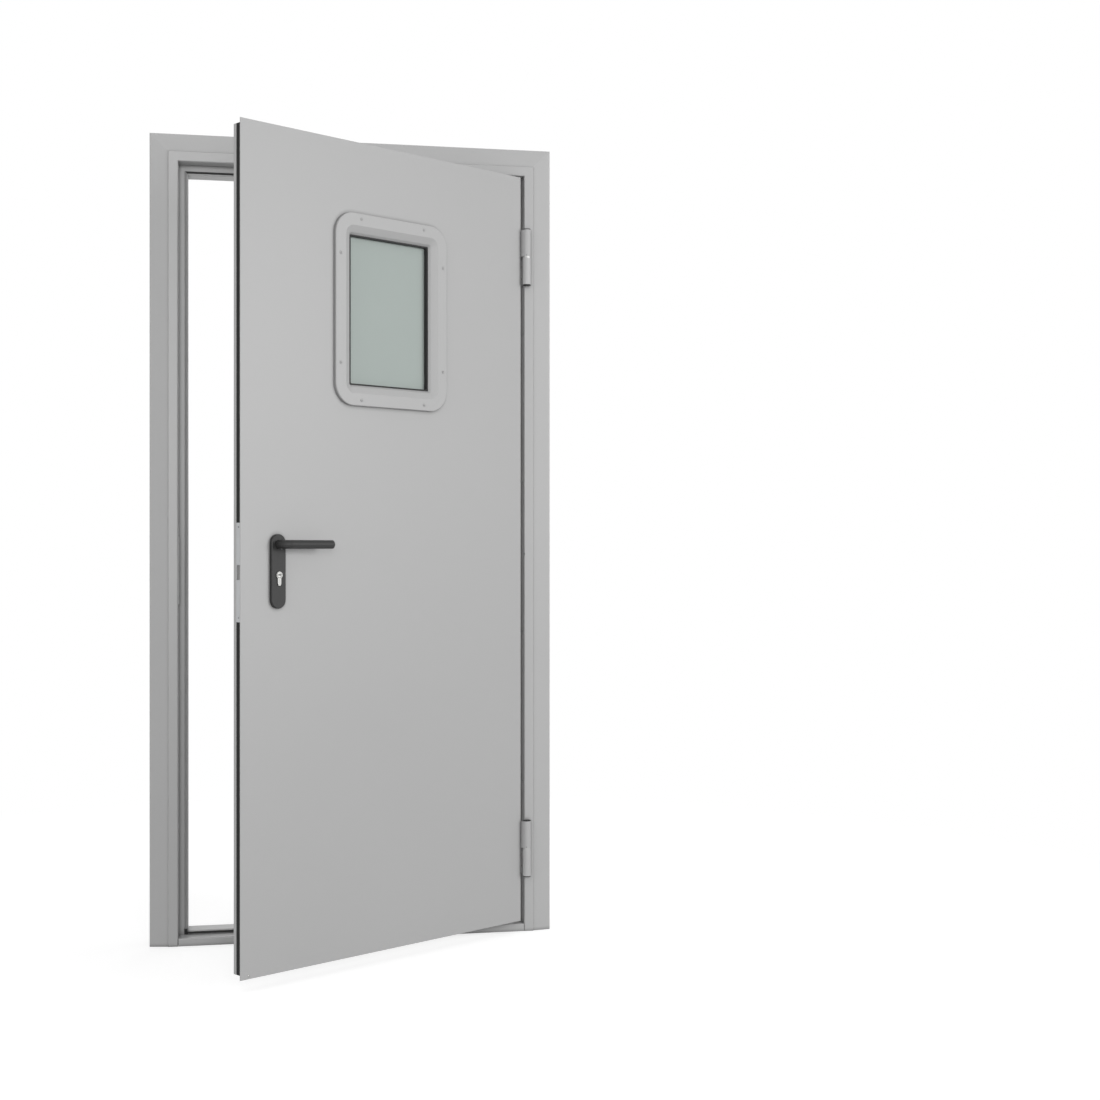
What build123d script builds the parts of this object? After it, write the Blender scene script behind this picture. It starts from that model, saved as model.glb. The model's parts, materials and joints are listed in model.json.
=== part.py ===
"""Single-leaf steel utility door with a vision panel, hung in a four-sided steel frame.

Units are millimetres. X runs to the right seen from the pull side, Y runs into the wall and Z up.
The origin is the middle of the doorway at floor level, in the plane of the wall's face.
Every leaf piece is modelled with the leaf closed, then the whole leaf is turned open on its hinges.
"""
from build123d import *
import os

os.makedirs("parts", exist_ok=True)

# Frame
box_width = 960.0            # the box that stands in the wall opening
box_height = 2050.0
architrave_overlap = 45.0    # what the architrave laps over the wall on three sides
face_stand = 18.0            # the face stands this far out from the wall
architrave_lip = 6.0         # height of the architrave's outer edge
face_step = 3.5              # small step between the bevel and the face
step_start = 1.0             # from the box's side to that step
step_run = 2.0
face_width = 24.5
stop_width = 24.5            # how far the stop reaches in behind the leaf
frame_depth = 105.0          # from the face to the back of the frame
frame_sheet = 1.5
bend_radius = 1.5            # inside radius of a bend in the frame sheet
face_edge_radius = 4.0
hem_width = 12.0             # strip of the architrave that lies on the wall
back_return = 15.0           # lip turned in at the back of the frame

# Threshold
threshold_front = 20.0
threshold_step = 10.0        # how far its back part stands above its front part
threshold_foot = 27.0
threshold_setback = 1.0      # its front stands behind the frame's face
threshold_fit = 0.5          # between its ends and the jambs
threshold_notch = 4.0        # its ends are cut back in front of the stops

# Leaf
leaf_thickness = 40.0
leaf_gap = 6.0               # around the leaf's front sheet, in the frame
leaf_floor_gap = 10.0        # between the leaf and the threshold's front part
leaf_sheet = 1.2
front_edge_radius = 0.7
back_edge_radius = 2.0
front_overhang = 8.0         # the front sheet reaches past the core
back_return_lip = 12.4       # the back sheet is folded round the core this far
lip_clearance = 0.6          # between that fold and what lies beside it on the edge
seal_room = 8.0              # between the closed leaf and the stop
edge_channel = 1.5
edge_flange = 18.0
strip_thickness = 1.7
strip_start = 8.0            # from the leaf's front to the black expanding strip
strip_gap = 1.0              # between a strip's end and a hinge pad
rest_opening = 33.6          # angle at which the leaf stands open, in degrees

# Seals of the frame
seal_width = 5.0
seal_height = 3.0
seal_bulb = 1.8              # radius of the seal's round shoulders
seal_inset = 3.5             # from the stop's inner edge to the seal
seal_lift = 0.2              # the threshold's seal clears the bend under it

# Hinges
knuckle_radius = 10.5
pin_radius = 6.0
pin_clearance = 0.05
pin_from_reveal = 5.0        # the pin stands to the frame's side of the gap
pin_stand = 12.5             # the pin stands in front of the face
knuckle_length = 72.0
washer_thickness = 2.0
washer_inset = 0.6           # the washer is smaller than the knuckles all round
lower_hinge_z = 224.0        # height of the lower hinge's joint
hinge_below_top = 213.5      # from the leaf's top down to the upper hinge's joint
blade_thickness = 3.5
blade_depth = 40.0           # how far the frame's blade reaches behind the face
blade_relief = 1.0           # a blade is shorter than its knuckle at each end
leaf_blade_gap = 0.5         # between the front sheet's edge and the leaf's blade
frame_plate_length = 170.0
frame_plate_thickness = 5.0
frame_plate_front = 10.0     # from the face to the plate behind the reveal
frame_plate_back = 6.0       # from that plate to the stop
hinge_pad_start = 4.0        # from the leaf's front to the hinge pad

# Vision panel
trim_width = 354.0
trim_height = 469.0
trim_below_top = 175.0       # from the leaf's top down to the trim
trim_corner = 54.0
trim_proud = 9.0
trim_edge = 1.5              # broken outer edge of the rim
trim_flat = 30.0
trim_bevel = 16.0
trim_bevel_drop = 8.7
trim_lip = 5.0
trim_lip_drop = 6.3
trim_collar = 1.5            # wall of the collar that reaches into the leaf
lip_corner = 3.0             # smallest corner radius of the trim
gasket_proud = 4.0           # how far the gasket shows inside the lip
gasket_seat = 2.0            # how far it sits behind the lip
glass_inset = 27.0           # from the trim's outer edge in to the glass's edge
glass_thickness = 6.0
glass_corner = 2.0
window_clearance = 5.0       # between the glass and the hole in the leaf

# Lock and handle
backset = 93.5               # from the lock's forend to the handle's spindle
lever_z = 1034.0
cylinder_drop = 72.0         # from the spindle down to the lock cylinder
lock_drop = 65.0             # from the spindle down to the lock's middle
plate_width = 40.0
plate_height = 174.0
plate_drop = 63.0            # from the spindle down to the plate's middle
plate_thickness = 9.0
plate_edge = 1.5
lever_diameter = 20.5        # the lever is a round bar
lever_reach = 134.0          # from the spindle to the tip
lever_stand = 42.0           # from the leaf's face to the lever's axis
lever_bend = 15.0
lever_tip_chamfer = 3.5
lever_clearance = 0.4
lever_root_gap = 1.0         # between the lever's root and the leaf's face
spindle_side = 9.0
spindle_socket = 20.0
spindle_end_gap = 1.0
spindle_clearance = 0.1
follower_radius = 7.5        # hole in the lock case for the spindle
cylinder_radius = 8.5
cylinder_slot = 10.0
cylinder_height = 33.0
cylinder_proud = 2.5
cylinder_clearance = 0.3
sheet_hole_margin = 1.0      # the sheets' holes are larger than what passes through
forend_height = 230.0
forend_thickness = 2.2
latch_height = 34.0
latch_width = 14.0
latch_recess = 0.6
latch_length = 25.0
latch_clearance = 0.3
case_height = 170.0
case_thickness = 16.0
case_beyond_spindle = 32.0
case_clearance = 1.0
strike_height = 180.0
strike_width = 24.0
strike_thickness = 2.0
strike_corner = 3.0
strike_hole_margin = 3.0     # the strike's hole is larger than the latch all round
strike_box_depth = 14.0
strike_box_wall = 1.0

# Anchors through the jambs
anchor_count = 4
anchor_low_z = 400.0
anchor_below_head = 450.0    # from the box's top down to the last anchor
anchor_radius = 5.5
anchor_behind_face = 26.0

# For the modelling itself
cut_reach = 1.0              # a cut runs this far past what it cuts
mitre_margin = 5.0           # a mitre's prism runs this far past the frame
pick_margin = 0.01           # how near an edge lies to the plane that picks it

# Places that follow from the sizes above
half_width = box_width / 2 + architrave_overlap
head_z = box_height + architrave_overlap
face_y = -face_stand
step_x = architrave_overlap + step_start
reveal = step_x + step_run + face_width    # from the outer edge to the reveal
stop = reveal + stop_width
reveal_x = half_width - reveal
stop_x = half_width - stop
stop_y = face_y + leaf_thickness + seal_room
back_y = face_y + frame_depth
leaf_side = reveal_x - leaf_gap
leaf_top = head_z - reveal - leaf_gap
leaf_bottom = threshold_front + leaf_floor_gap
leaf_back_y = face_y + leaf_thickness
core_side = leaf_side - front_overhang
core_top = leaf_top - front_overhang
core_bottom = leaf_bottom + front_overhang
channel_side = core_side - leaf_sheet
channel_top = core_top - leaf_sheet
channel_bottom = core_bottom + leaf_sheet
inner_front_y = face_y + leaf_sheet
inner_back_y = leaf_back_y - leaf_sheet
pin_x = reveal_x + pin_from_reveal
pin_y = face_y - pin_stand
upper_hinge_z = leaf_top - hinge_below_top
blade_x = leaf_side + leaf_blade_gap
strip_width = leaf_thickness - back_return_lip - strip_start - lip_clearance
lock_y = face_y + strip_start + strip_width / 2
pad_end_y = leaf_back_y - back_return_lip - lip_clearance
trim_middle_z = leaf_top - trim_below_top - trim_height / 2
glass_width = trim_width - 2 * glass_inset
glass_height = trim_height - 2 * glass_inset
glass_y = face_y + (leaf_thickness - glass_thickness) / 2
bevel_end = trim_flat + trim_bevel
lip_end = bevel_end + trim_lip
trim_top_y = face_y - trim_proud
bevel_y = trim_top_y + trim_bevel_drop
lip_y = bevel_y + trim_lip_drop
handle_x = -core_side + backset
cylinder_z = lever_z - cylinder_drop
cylinder_foot_z = cylinder_z + cylinder_radius - cylinder_height
lock_z = lever_z - lock_drop
anchor_pitch = (box_height - anchor_below_head - anchor_low_z) / (anchor_count - 1)


def block(x0, x1, y0, y1, z0, z1):
    """A box between two corners."""
    middle = Pos((x0 + x1) / 2, (y0 + y1) / 2, (z0 + z1) / 2)
    return middle * Box(abs(x1 - x0), abs(y1 - y0), abs(z1 - z0))


def rod(x, z, radius, y0, y1):
    """A cylinder along Y."""
    return Pos(x, (y0 + y1) / 2, z) * Rot(90, 0, 0) * Cylinder(radius, abs(y1 - y0))


def front_plane(y, x=0.0, z=0.0):
    """A plane that faces the pull side, with local x along X and local y along Z."""
    return Plane(origin=(x, y, z), x_dir=(1, 0, 0), z_dir=(0, -1, 0))


def slab(width, height, corner, y0, y1, z):
    """A rounded rectangular slab in the leaf, from y0 back to y1."""
    outline = RectangleRounded(width, height, corner)
    return extrude(front_plane(y1, 0, z) * outline, amount=y1 - y0)


def edges_at(shape, y):
    """The edges of a shape that lie in one plane across Y."""
    return shape.edges().filter_by_position(Axis.Y, y - pick_margin, y + pick_margin)


def offset_points(points, distance):
    """The points of a polyline moved to its left by a distance."""
    moved = []
    for i, (x, y) in enumerate(points):
        normals = []
        for a, b in ((i - 1, i), (i, i + 1)):
            if 0 <= a and b < len(points):
                run = Vector(*points[b]) - Vector(*points[a])
                normals.append(Vector(-run.Y, run.X).normalized())
        total = sum(normals[1:], normals[0])
        reach = distance / total.dot(normals[0])
        moved.append((x + total.X * reach, y + total.Y * reach))
    return moved


def bent_sheet(points, thickness, radii):
    """A folded sheet seen on end: the skin's points with the material on their left.

    The radii are the inside ones of the bends; a bend of 0 is left sharp on both faces.
    """
    inner = offset_points(points, thickness)
    skin_radii = []
    back_radii = []
    for i, small in enumerate(radii, start=1):
        before = Vector(*points[i]) - Vector(*points[i - 1])
        after = Vector(*points[i + 1]) - Vector(*points[i])
        turns_left = before.cross(after).Z > 0
        large = small + thickness if small else 0
        skin_radii.append(large if turns_left else small)
        back_radii.append(small if turns_left else large)
    ring = list(points) + inner[::-1]
    corner_radii = [0] + skin_radii + [0, 0] + back_radii[::-1] + [0]
    return make_face(FilletPolyline(*ring, radius=corner_radii, close=True))


def frame_section():
    """The frame's profile: x from its outer edge inwards, y into the wall."""
    points = [
        (hem_width, 0),
        (0, 0),
        (0, -architrave_lip),
        (step_x, face_y + face_step),
        (step_x + step_run, face_y),
        (reveal, face_y),
        (reveal, stop_y),
        (stop, stop_y),
        (stop, back_y),
        (architrave_overlap, back_y),
        (architrave_overlap, back_y - back_return),
    ]
    edge = face_edge_radius - frame_sheet
    radii = [0, edge, 0, 0, edge, 0, bend_radius, bend_radius, 0]
    return bent_sheet(points, frame_sheet, radii)


def wall_prism(points):
    """A prism on an outline in the door's plane, deeper than the frame, for mitred ends."""
    outline = make_face(Polyline(*points, close=True))
    plane = Plane(origin=(0, back_y + frame_depth, 0), x_dir=(1, 0, 0), z_dir=(0, -1, 0))
    return extrude(plane * outline, amount=3 * frame_depth)


def side_prism(side):
    """What lies under the mitre on one side; side is 1 at the hinges and -1 at the lock."""
    reach = stop + mitre_margin
    return wall_prism([
        (side * (half_width + mitre_margin), -mitre_margin),
        (side * (half_width + mitre_margin), head_z + mitre_margin),
        (side * (half_width - reach), head_z - reach),
        (side * (half_width - reach), -mitre_margin),
    ])


def jamb_bar(section, side, low):
    """A profile run up one side of the frame and mitred under the head."""
    if side > 0:
        plane = Plane(origin=(half_width, 0, head_z), x_dir=(-1, 0, 0), z_dir=(0, 0, -1))
    else:
        plane = Plane(origin=(-half_width, 0, low), x_dir=(1, 0, 0), z_dir=(0, 0, 1))
    return extrude(plane * section, amount=head_z - low) & side_prism(side)


def head_bar(section):
    """A profile run along the head of the frame and mitred at both ends."""
    plane = Plane(origin=(-half_width, 0, head_z), x_dir=(0, 0, -1), z_dir=(1, 0, 0))
    return extrude(plane * section, amount=2 * half_width) - side_prism(1) - side_prism(-1)


def anchor_holes(side):
    """Round holes through the reveal of one jamb."""
    y = face_y + anchor_behind_face
    drill = Rot(0, 90, 0) * Cylinder(anchor_radius, 2 * (frame_sheet + cut_reach))
    heights = [anchor_low_z + i * anchor_pitch for i in range(anchor_count)]
    return [Pos(side * reveal_x, y, z) * drill for z in heights]


def strike_hole(grow, depth):
    """The hole that the latch goes into, in the lock jamb, from the strike's face back."""
    tall = latch_height / 2 + strike_hole_margin + grow
    wide = latch_width / 2 + strike_hole_margin + grow
    front_x = -reveal_x + strike_thickness + cut_reach
    return block(-reveal_x - depth, front_x, lock_y - wide, lock_y + wide, lock_z - tall, lock_z + tall)


def hinge_jamb():
    return jamb_bar(frame_section(), 1, 0) - anchor_holes(1)


def lock_jamb():
    hole = strike_hole(strike_box_wall, frame_sheet + cut_reach)
    return jamb_bar(frame_section(), -1, 0) - anchor_holes(-1) - hole


def threshold():
    """A folded sill between the jambs, with a low step behind the leaf."""
    front_y = face_y + threshold_setback
    high = threshold_front + threshold_step
    points = [
        (back_y - threshold_foot, 0),
        (back_y, 0),
        (back_y, high),
        (stop_y, high),
        (stop_y, threshold_front),
        (front_y, threshold_front),
        (front_y, 0),
        (front_y + threshold_foot, 0),
    ]
    radii = [0, bend_radius, bend_radius, bend_radius, bend_radius, 0]
    section = bent_sheet(points, frame_sheet, radii)
    end_x = reveal_x - threshold_fit
    plane = Plane(origin=(-end_x, 0, 0), x_dir=(0, 1, 0), z_dir=(1, 0, 0))
    bar = extrude(plane * section, amount=2 * end_x)
    for side in (-1, 1):
        inner_x = side * (stop_x - threshold_fit)
        bar -= block(inner_x, side * half_width, stop_y - threshold_notch, back_y + cut_reach,
                     -cut_reach, high + cut_reach)
    return bar


def seal_section():
    """A low bulb seal on the stop, as seen on end in the frame's profile."""
    outer = stop - seal_inset
    inner = outer - seal_width
    front = stop_y - seal_height
    points = [(inner, stop_y), (outer, stop_y), (outer, front), (inner, front)]
    return make_face(FilletPolyline(*points, radius=[0, 0, seal_bulb, seal_bulb], close=True))


def side_seal(side):
    return jamb_bar(seal_section(), side, threshold_front)


def threshold_seal():
    """The seal along the threshold's step, between the side seals."""
    reach = stop_x + seal_inset
    low = threshold_front + bend_radius + seal_lift
    front = stop_y - seal_height
    strip = block(-reach, reach, front, stop_y, low, low + seal_width)
    return fillet(edges_at(strip, front).filter_by(Axis.X), seal_bulb)


def strike_plate():
    """The plate on the lock jamb's reveal, round-cornered, with the latch's hole."""
    plate = block(-reveal_x, -reveal_x + strike_thickness, lock_y - strike_width / 2,
                  lock_y + strike_width / 2, lock_z - strike_height / 2, lock_z + strike_height / 2)
    plate = fillet(plate.edges().filter_by(Axis.X), strike_corner)
    return plate - strike_hole(0, strike_box_depth)


def strike_box():
    """A small box behind the strike's hole that keeps mortar out."""
    depth = strike_thickness + strike_box_depth
    outer = strike_hole(strike_box_wall, depth) - block(-reveal_x, 0, -half_width, half_width, 0, head_z)
    return outer - strike_hole(0, depth - strike_box_wall)


def knuckle(low, high, blade_x0, blade_end):
    """One half of a hinge: a bored barrel with a flat blade beside it."""
    place = Pos(pin_x, pin_y, (low + high) / 2)
    barrel = place * Cylinder(knuckle_radius, high - low)
    bore = place * Cylinder(pin_radius + pin_clearance, high - low + 2 * cut_reach)
    blade = block(blade_x0, blade_x0 + blade_thickness, pin_y, blade_end, low + blade_relief,
                  high - blade_relief)
    return barrel + blade - bore


def hinge_frame_half(z):
    high = z - washer_thickness / 2
    return knuckle(high - knuckle_length, high, reveal_x - blade_thickness, face_y + blade_depth)


def hinge_leaf_half(z):
    low = z + washer_thickness / 2
    return knuckle(low, low + knuckle_length, blade_x, pad_end_y)


def hinge_washer(z):
    """The bearing ring between the two halves of a hinge."""
    ring = Cylinder(knuckle_radius - washer_inset, washer_thickness)
    ring -= Cylinder(pin_radius + pin_clearance, 2 * washer_thickness)
    return Pos(pin_x, pin_y, z) * ring


def hinge_pin(z):
    return Pos(pin_x, pin_y, z) * Cylinder(pin_radius, 2 * knuckle_length + washer_thickness)


def frame_hinge_plate(z):
    """The stiffening plate welded behind the reveal at a hinge."""
    x0 = reveal_x + frame_sheet
    half = frame_plate_length / 2
    return block(x0, x0 + frame_plate_thickness, face_y + frame_plate_front, stop_y - frame_plate_back,
                 z - half, z + half)


def pad_heights(z):
    """The lowest and highest point of the blade and pad of a leaf's hinge half."""
    low = z + washer_thickness / 2
    return low + blade_relief, low + knuckle_length - blade_relief


def leaf_hinge_pad(z):
    """The block between the leaf's edge channel and its hinge blade."""
    low, high = pad_heights(z)
    return block(channel_side, blade_x, face_y + hinge_pad_start, pad_end_y, low, high)


def window_hole():
    """The hole through the leaf for the glass."""
    width = glass_width + 2 * window_clearance
    height = glass_height + 2 * window_clearance
    corner = glass_corner + window_clearance
    return slab(width, height, corner, face_y - cut_reach, leaf_back_y + cut_reach, trim_middle_z)


def cylinder_body(y0, y1, grow):
    """The profile cylinder: a round barrel with a narrower foot under it."""
    half = cylinder_slot / 2 + grow
    toe_z = cylinder_foot_z - grow + half
    barrel = rod(handle_x, cylinder_z, cylinder_radius + grow, y0, y1)
    foot = block(handle_x - half, handle_x + half, y0, y1, toe_z, cylinder_z)
    return barrel + foot + rod(handle_x, toe_z, half, y0, y1)


def sheet_holes(y0, y1):
    """Holes in a sheet of the leaf: round for the spindle and oblong for the cylinder."""
    width = 2 * (cylinder_radius + sheet_hole_margin)
    height = cylinder_height + 2 * sheet_hole_margin
    middle_z = cylinder_foot_z + cylinder_height / 2
    oblong = SlotOverall(height, width, rotation=90)
    slot = extrude(front_plane(y1, handle_x, middle_z) * oblong, amount=y1 - y0)
    return slot + rod(handle_x, lever_z, follower_radius + sheet_hole_margin, y0, y1)


def leaf_front_sheet():
    """The front sheet, doubled by a hem where it reaches past the core."""
    sheet = block(-leaf_side, leaf_side, face_y, inner_front_y, leaf_bottom, leaf_top)
    hem = block(-leaf_side, leaf_side, inner_front_y, inner_front_y + leaf_sheet, leaf_bottom, leaf_top)
    hem -= block(-channel_side, channel_side, face_y, leaf_back_y, channel_bottom, channel_top)
    panel = sheet + hem
    panel = fillet(edges_at(panel, face_y), front_edge_radius)
    return panel - window_hole() - sheet_holes(face_y - cut_reach, inner_front_y + cut_reach)


def leaf_back_sheet():
    """The back sheet, folded forwards round the core."""
    tray = block(-core_side, core_side, leaf_back_y - back_return_lip, leaf_back_y, core_bottom, core_top)
    tray = fillet(edges_at(tray, leaf_back_y), back_edge_radius)
    tray -= block(-channel_side, channel_side, face_y, inner_back_y, channel_bottom, channel_top)
    return tray - window_hole() - sheet_holes(inner_back_y - cut_reach, leaf_back_y + cut_reach)


def inside_channel(inset, y0, y1):
    """A block inside the leaf, an inset in from the edge channel's outer faces."""
    return block(-channel_side + inset, channel_side - inset, y0, y1, channel_bottom + inset,
                 channel_top - inset)


def edge_frame():
    """A ring of steel channel round the core, open inwards."""
    ring = inside_channel(0, inner_front_y, inner_back_y)
    ring -= inside_channel(edge_channel, inner_front_y + edge_channel, inner_back_y - edge_channel)
    ring -= inside_channel(edge_flange, face_y, leaf_back_y)
    return ring - lock_pocket()


def lock_pocket():
    """The room for the lock case and its forend in the lock edge."""
    wide = case_thickness / 2 + case_clearance
    tall = case_height / 2 + case_clearance
    return block(-leaf_side, handle_x + case_beyond_spindle + case_clearance, lock_y - wide,
                 lock_y + wide, lock_z - tall, lock_z + tall)


def core_cutout():
    """The room cut through the wool for the spindle and the cylinder."""
    wide = cylinder_radius + sheet_hole_margin
    low = cylinder_foot_z - sheet_hole_margin
    high = lever_z + follower_radius + sheet_hole_margin
    return block(handle_x - wide, handle_x + wide, face_y, leaf_back_y, low, high)


def leaf_core():
    """The mineral wool between the sheets, with room for the window and the lock."""
    middle = inside_channel(edge_channel, inner_front_y + edge_channel, inner_back_y - edge_channel)
    middle += inside_channel(edge_flange, inner_front_y, inner_back_y)
    return middle - window_hole() - lock_pocket() - core_cutout()


def expanding_strip(x0, x1, z0, z1):
    y0 = face_y + strip_start
    return block(x0, x1, y0, y0 + strip_width, z0, z1)


def lock_edge_strips():
    """The black strip down the lock edge, above and below the forend."""
    x0, x1 = -channel_side - strip_thickness, -channel_side
    low = lock_z - forend_height / 2
    high = lock_z + forend_height / 2
    return [expanding_strip(x0, x1, channel_bottom, low), expanding_strip(x0, x1, high, channel_top)]


def hinge_edge_strips():
    """The black strip down the hinge edge, between the hinge pads."""
    x0, x1 = channel_side, channel_side + strip_thickness
    pieces = []
    start = channel_bottom
    for z in (lower_hinge_z, upper_hinge_z):
        pad_low, pad_high = pad_heights(z)
        pieces.append(expanding_strip(x0, x1, start, pad_low - strip_gap))
        start = pad_high + strip_gap
    pieces.append(expanding_strip(x0, x1, start, channel_top))
    return pieces


def top_edge_strip():
    return expanding_strip(-channel_side, channel_side, channel_top, channel_top + strip_thickness)


def bottom_edge_strip():
    return expanding_strip(-channel_side, channel_side, channel_bottom - strip_thickness, channel_bottom)


def latch(grow, proud):
    """The latch bolt, drawn back almost flush with the forend."""
    x0 = -channel_side - forend_thickness + latch_recess - proud
    tall = latch_height / 2 + grow
    wide = latch_width / 2 + grow
    return block(x0, -channel_side + latch_length, lock_y - wide, lock_y + wide, lock_z - tall,
                 lock_z + tall)


def lock_forend():
    """The lock's face plate on the leaf's edge, with the latch's hole."""
    half = forend_height / 2
    plate = block(-channel_side - forend_thickness, -channel_side, lock_y - strip_width / 2,
                  lock_y + strip_width / 2, lock_z - half, lock_z + half)
    return plate - latch(latch_clearance, latch_recess + cut_reach)


def lock_case():
    """The mortice lock's case, with holes for the spindle, the cylinder and the latch."""
    half = case_height / 2
    case = block(-channel_side, handle_x + case_beyond_spindle, lock_y - case_thickness / 2,
                 lock_y + case_thickness / 2, lock_z - half, lock_z + half)
    case -= rod(handle_x, lever_z, follower_radius, face_y, leaf_back_y)
    return case - cylinder_body(face_y, leaf_back_y, cylinder_clearance) - latch(latch_clearance, 0)


def lock_cylinder():
    """The profile cylinder, standing a little out of both plates."""
    reach = plate_thickness + cylinder_proud
    return cylinder_body(face_y - reach, leaf_back_y + reach, 0)


def handle_plate(front):
    """A long plate with round ends, with holes for the lever and the cylinder."""
    y0 = face_y - plate_thickness if front else leaf_back_y
    y1 = y0 + plate_thickness
    outline = SlotOverall(plate_height, plate_width, rotation=90)
    plate = extrude(front_plane(y1, handle_x, lever_z - plate_drop) * outline, amount=plate_thickness)
    plate = chamfer(edges_at(plate, y0 if front else y1), plate_edge)
    plate -= rod(handle_x, lever_z, lever_diameter / 2 + lever_clearance, y0 - cut_reach, y1 + cut_reach)
    return plate - cylinder_body(y0 - cut_reach, y1 + cut_reach, cylinder_clearance)


def lever(front):
    """A round bar bent once: out of the plate, then along the leaf to its tip."""
    face = face_y if front else leaf_back_y
    out = -1 if front else 1
    axis_y = face + out * lever_stand
    root = (handle_x, face + out * lever_root_gap, lever_z)
    elbow = (handle_x, axis_y, lever_z)
    tip = (handle_x + lever_reach, axis_y, lever_z)
    path = FilletPolyline(root, elbow, tip, radius=lever_bend)
    start = Plane(origin=root, x_dir=(1, 0, 0), z_dir=(0, out, 0))
    bar = sweep(start * Circle(lever_diameter / 2), path=path)
    end = bar.faces().sort_by(Axis.X)[-1]
    bar = chamfer(end.edges(), lever_tip_chamfer)
    half = spindle_side / 2 + spindle_clearance
    return bar - block(handle_x - half, handle_x + half, face, face + out * spindle_socket,
                       lever_z - half, lever_z + half)


def spindle():
    """The square bar that joins the two levers through the lock."""
    reach = spindle_socket - spindle_end_gap
    half = spindle_side / 2
    return block(handle_x - half, handle_x + half, face_y - reach, leaf_back_y + reach, lever_z - half,
                 lever_z + half)


def trim_outline(inset):
    """The trim's outline an inset in from its outer edge, with its corners kept round."""
    corner = max(trim_corner - inset, lip_corner)
    return RectangleRounded(trim_width - 2 * inset, trim_height - 2 * inset, corner)


def trim_slab(inset, y0, y1):
    """A slab as large as the trim less an inset all round."""
    return extrude(front_plane(y1, 0, trim_middle_z) * trim_outline(inset), amount=y1 - y0)


def trim_funnel(inset0, y0, inset1, y1):
    """A solid that narrows from one inset to another, with rounded corners."""
    return loft([front_plane(y, 0, trim_middle_z) * trim_outline(inset)
                 for inset, y in ((inset0, y0), (inset1, y1))], ruled=True)


def front_trim():
    """The trim round the glass: flat rim, bevel and a lip that runs down a collar in the leaf."""
    rim = trim_slab(0, trim_top_y, face_y)
    rim = chamfer(edges_at(rim, trim_top_y), trim_edge)
    collar = trim_slab(bevel_end - trim_collar, bevel_y, lip_y)
    funnels = trim_funnel(trim_flat, trim_top_y, bevel_end, bevel_y)
    funnels += trim_funnel(bevel_end, bevel_y, lip_end, lip_y)
    return rim + collar - funnels


def front_gasket():
    """The black gasket between the trim's inner lip and the glass."""
    ring = trim_slab(bevel_end - gasket_seat, lip_y, glass_y)
    return ring - trim_slab(lip_end + gasket_proud, lip_y - cut_reach, glass_y + cut_reach)


def mirrored_to_back(shape):
    """The same piece on the leaf's other face."""
    middle = Plane(origin=(0, face_y + leaf_thickness / 2, 0), x_dir=(1, 0, 0), z_dir=(0, 1, 0))
    return mirror(shape, middle)


def window_glass():
    return slab(glass_width, glass_height, glass_corner, glass_y, glass_y + glass_thickness, trim_middle_z)


frame_nodes = {
    "frame_hinge_jamb": hinge_jamb(),
    "frame_lock_jamb": lock_jamb(),
    "frame_head": head_bar(frame_section()),
    "frame_threshold": threshold(),
    "seal_hinge_side": side_seal(1),
    "seal_lock_side": side_seal(-1),
    "seal_head": head_bar(seal_section()),
    "seal_threshold": threshold_seal(),
    "strike_plate": strike_plate(),
    "strike_box": strike_box(),
    "hinge_lower_frame_half": hinge_frame_half(lower_hinge_z),
    "hinge_upper_frame_half": hinge_frame_half(upper_hinge_z),
    "hinge_lower_pin": hinge_pin(lower_hinge_z),
    "hinge_upper_pin": hinge_pin(upper_hinge_z),
    "hinge_lower_washer": hinge_washer(lower_hinge_z),
    "hinge_upper_washer": hinge_washer(upper_hinge_z),
    "hinge_lower_frame_plate": frame_hinge_plate(lower_hinge_z),
    "hinge_upper_frame_plate": frame_hinge_plate(upper_hinge_z),
}

leaf_nodes = {
    "leaf_front_sheet": leaf_front_sheet(),
    "leaf_back_sheet": leaf_back_sheet(),
    "leaf_edge_frame": edge_frame(),
    "leaf_core": leaf_core(),
    "edge_strip_lock": Compound(lock_edge_strips()),
    "edge_strip_hinge": Compound(hinge_edge_strips()),
    "edge_strip_top": top_edge_strip(),
    "edge_strip_bottom": bottom_edge_strip(),
    "hinge_lower_leaf_half": hinge_leaf_half(lower_hinge_z),
    "hinge_upper_leaf_half": hinge_leaf_half(upper_hinge_z),
    "hinge_lower_pad": leaf_hinge_pad(lower_hinge_z),
    "hinge_upper_pad": leaf_hinge_pad(upper_hinge_z),
    "lock_forend": lock_forend(),
    "lock_latch": latch(0, 0),
    "lock_case": lock_case(),
    "lock_cylinder": lock_cylinder(),
    "handle_plate_front": handle_plate(True),
    "handle_plate_back": handle_plate(False),
    "window_trim_front": front_trim(),
    "window_trim_back": mirrored_to_back(front_trim()),
    "window_gasket_front": front_gasket(),
    "window_gasket_back": mirrored_to_back(front_gasket()),
    "window_glass": window_glass(),
    "lever_front": lever(True),
    "lever_back": lever(False),
    "lever_spindle": spindle(),
}

hinge_axis = Axis((pin_x, pin_y, 0), (0, 0, 1))

for node, shape in frame_nodes.items():
    export_step(shape, f"parts/{node}.step")

for node, shape in leaf_nodes.items():
    export_step(shape.rotate(hinge_axis, rest_opening), f"parts/{node}.step")
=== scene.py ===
"""The looks of a grey steel utility door with a vision panel, standing open in its frame.

Units are metres. X runs to the hinge side seen from the pull side, Y runs into the wall and Z up.
"""
import json
import math

import bmesh
import bpy
from mathutils import Matrix, Vector


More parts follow.
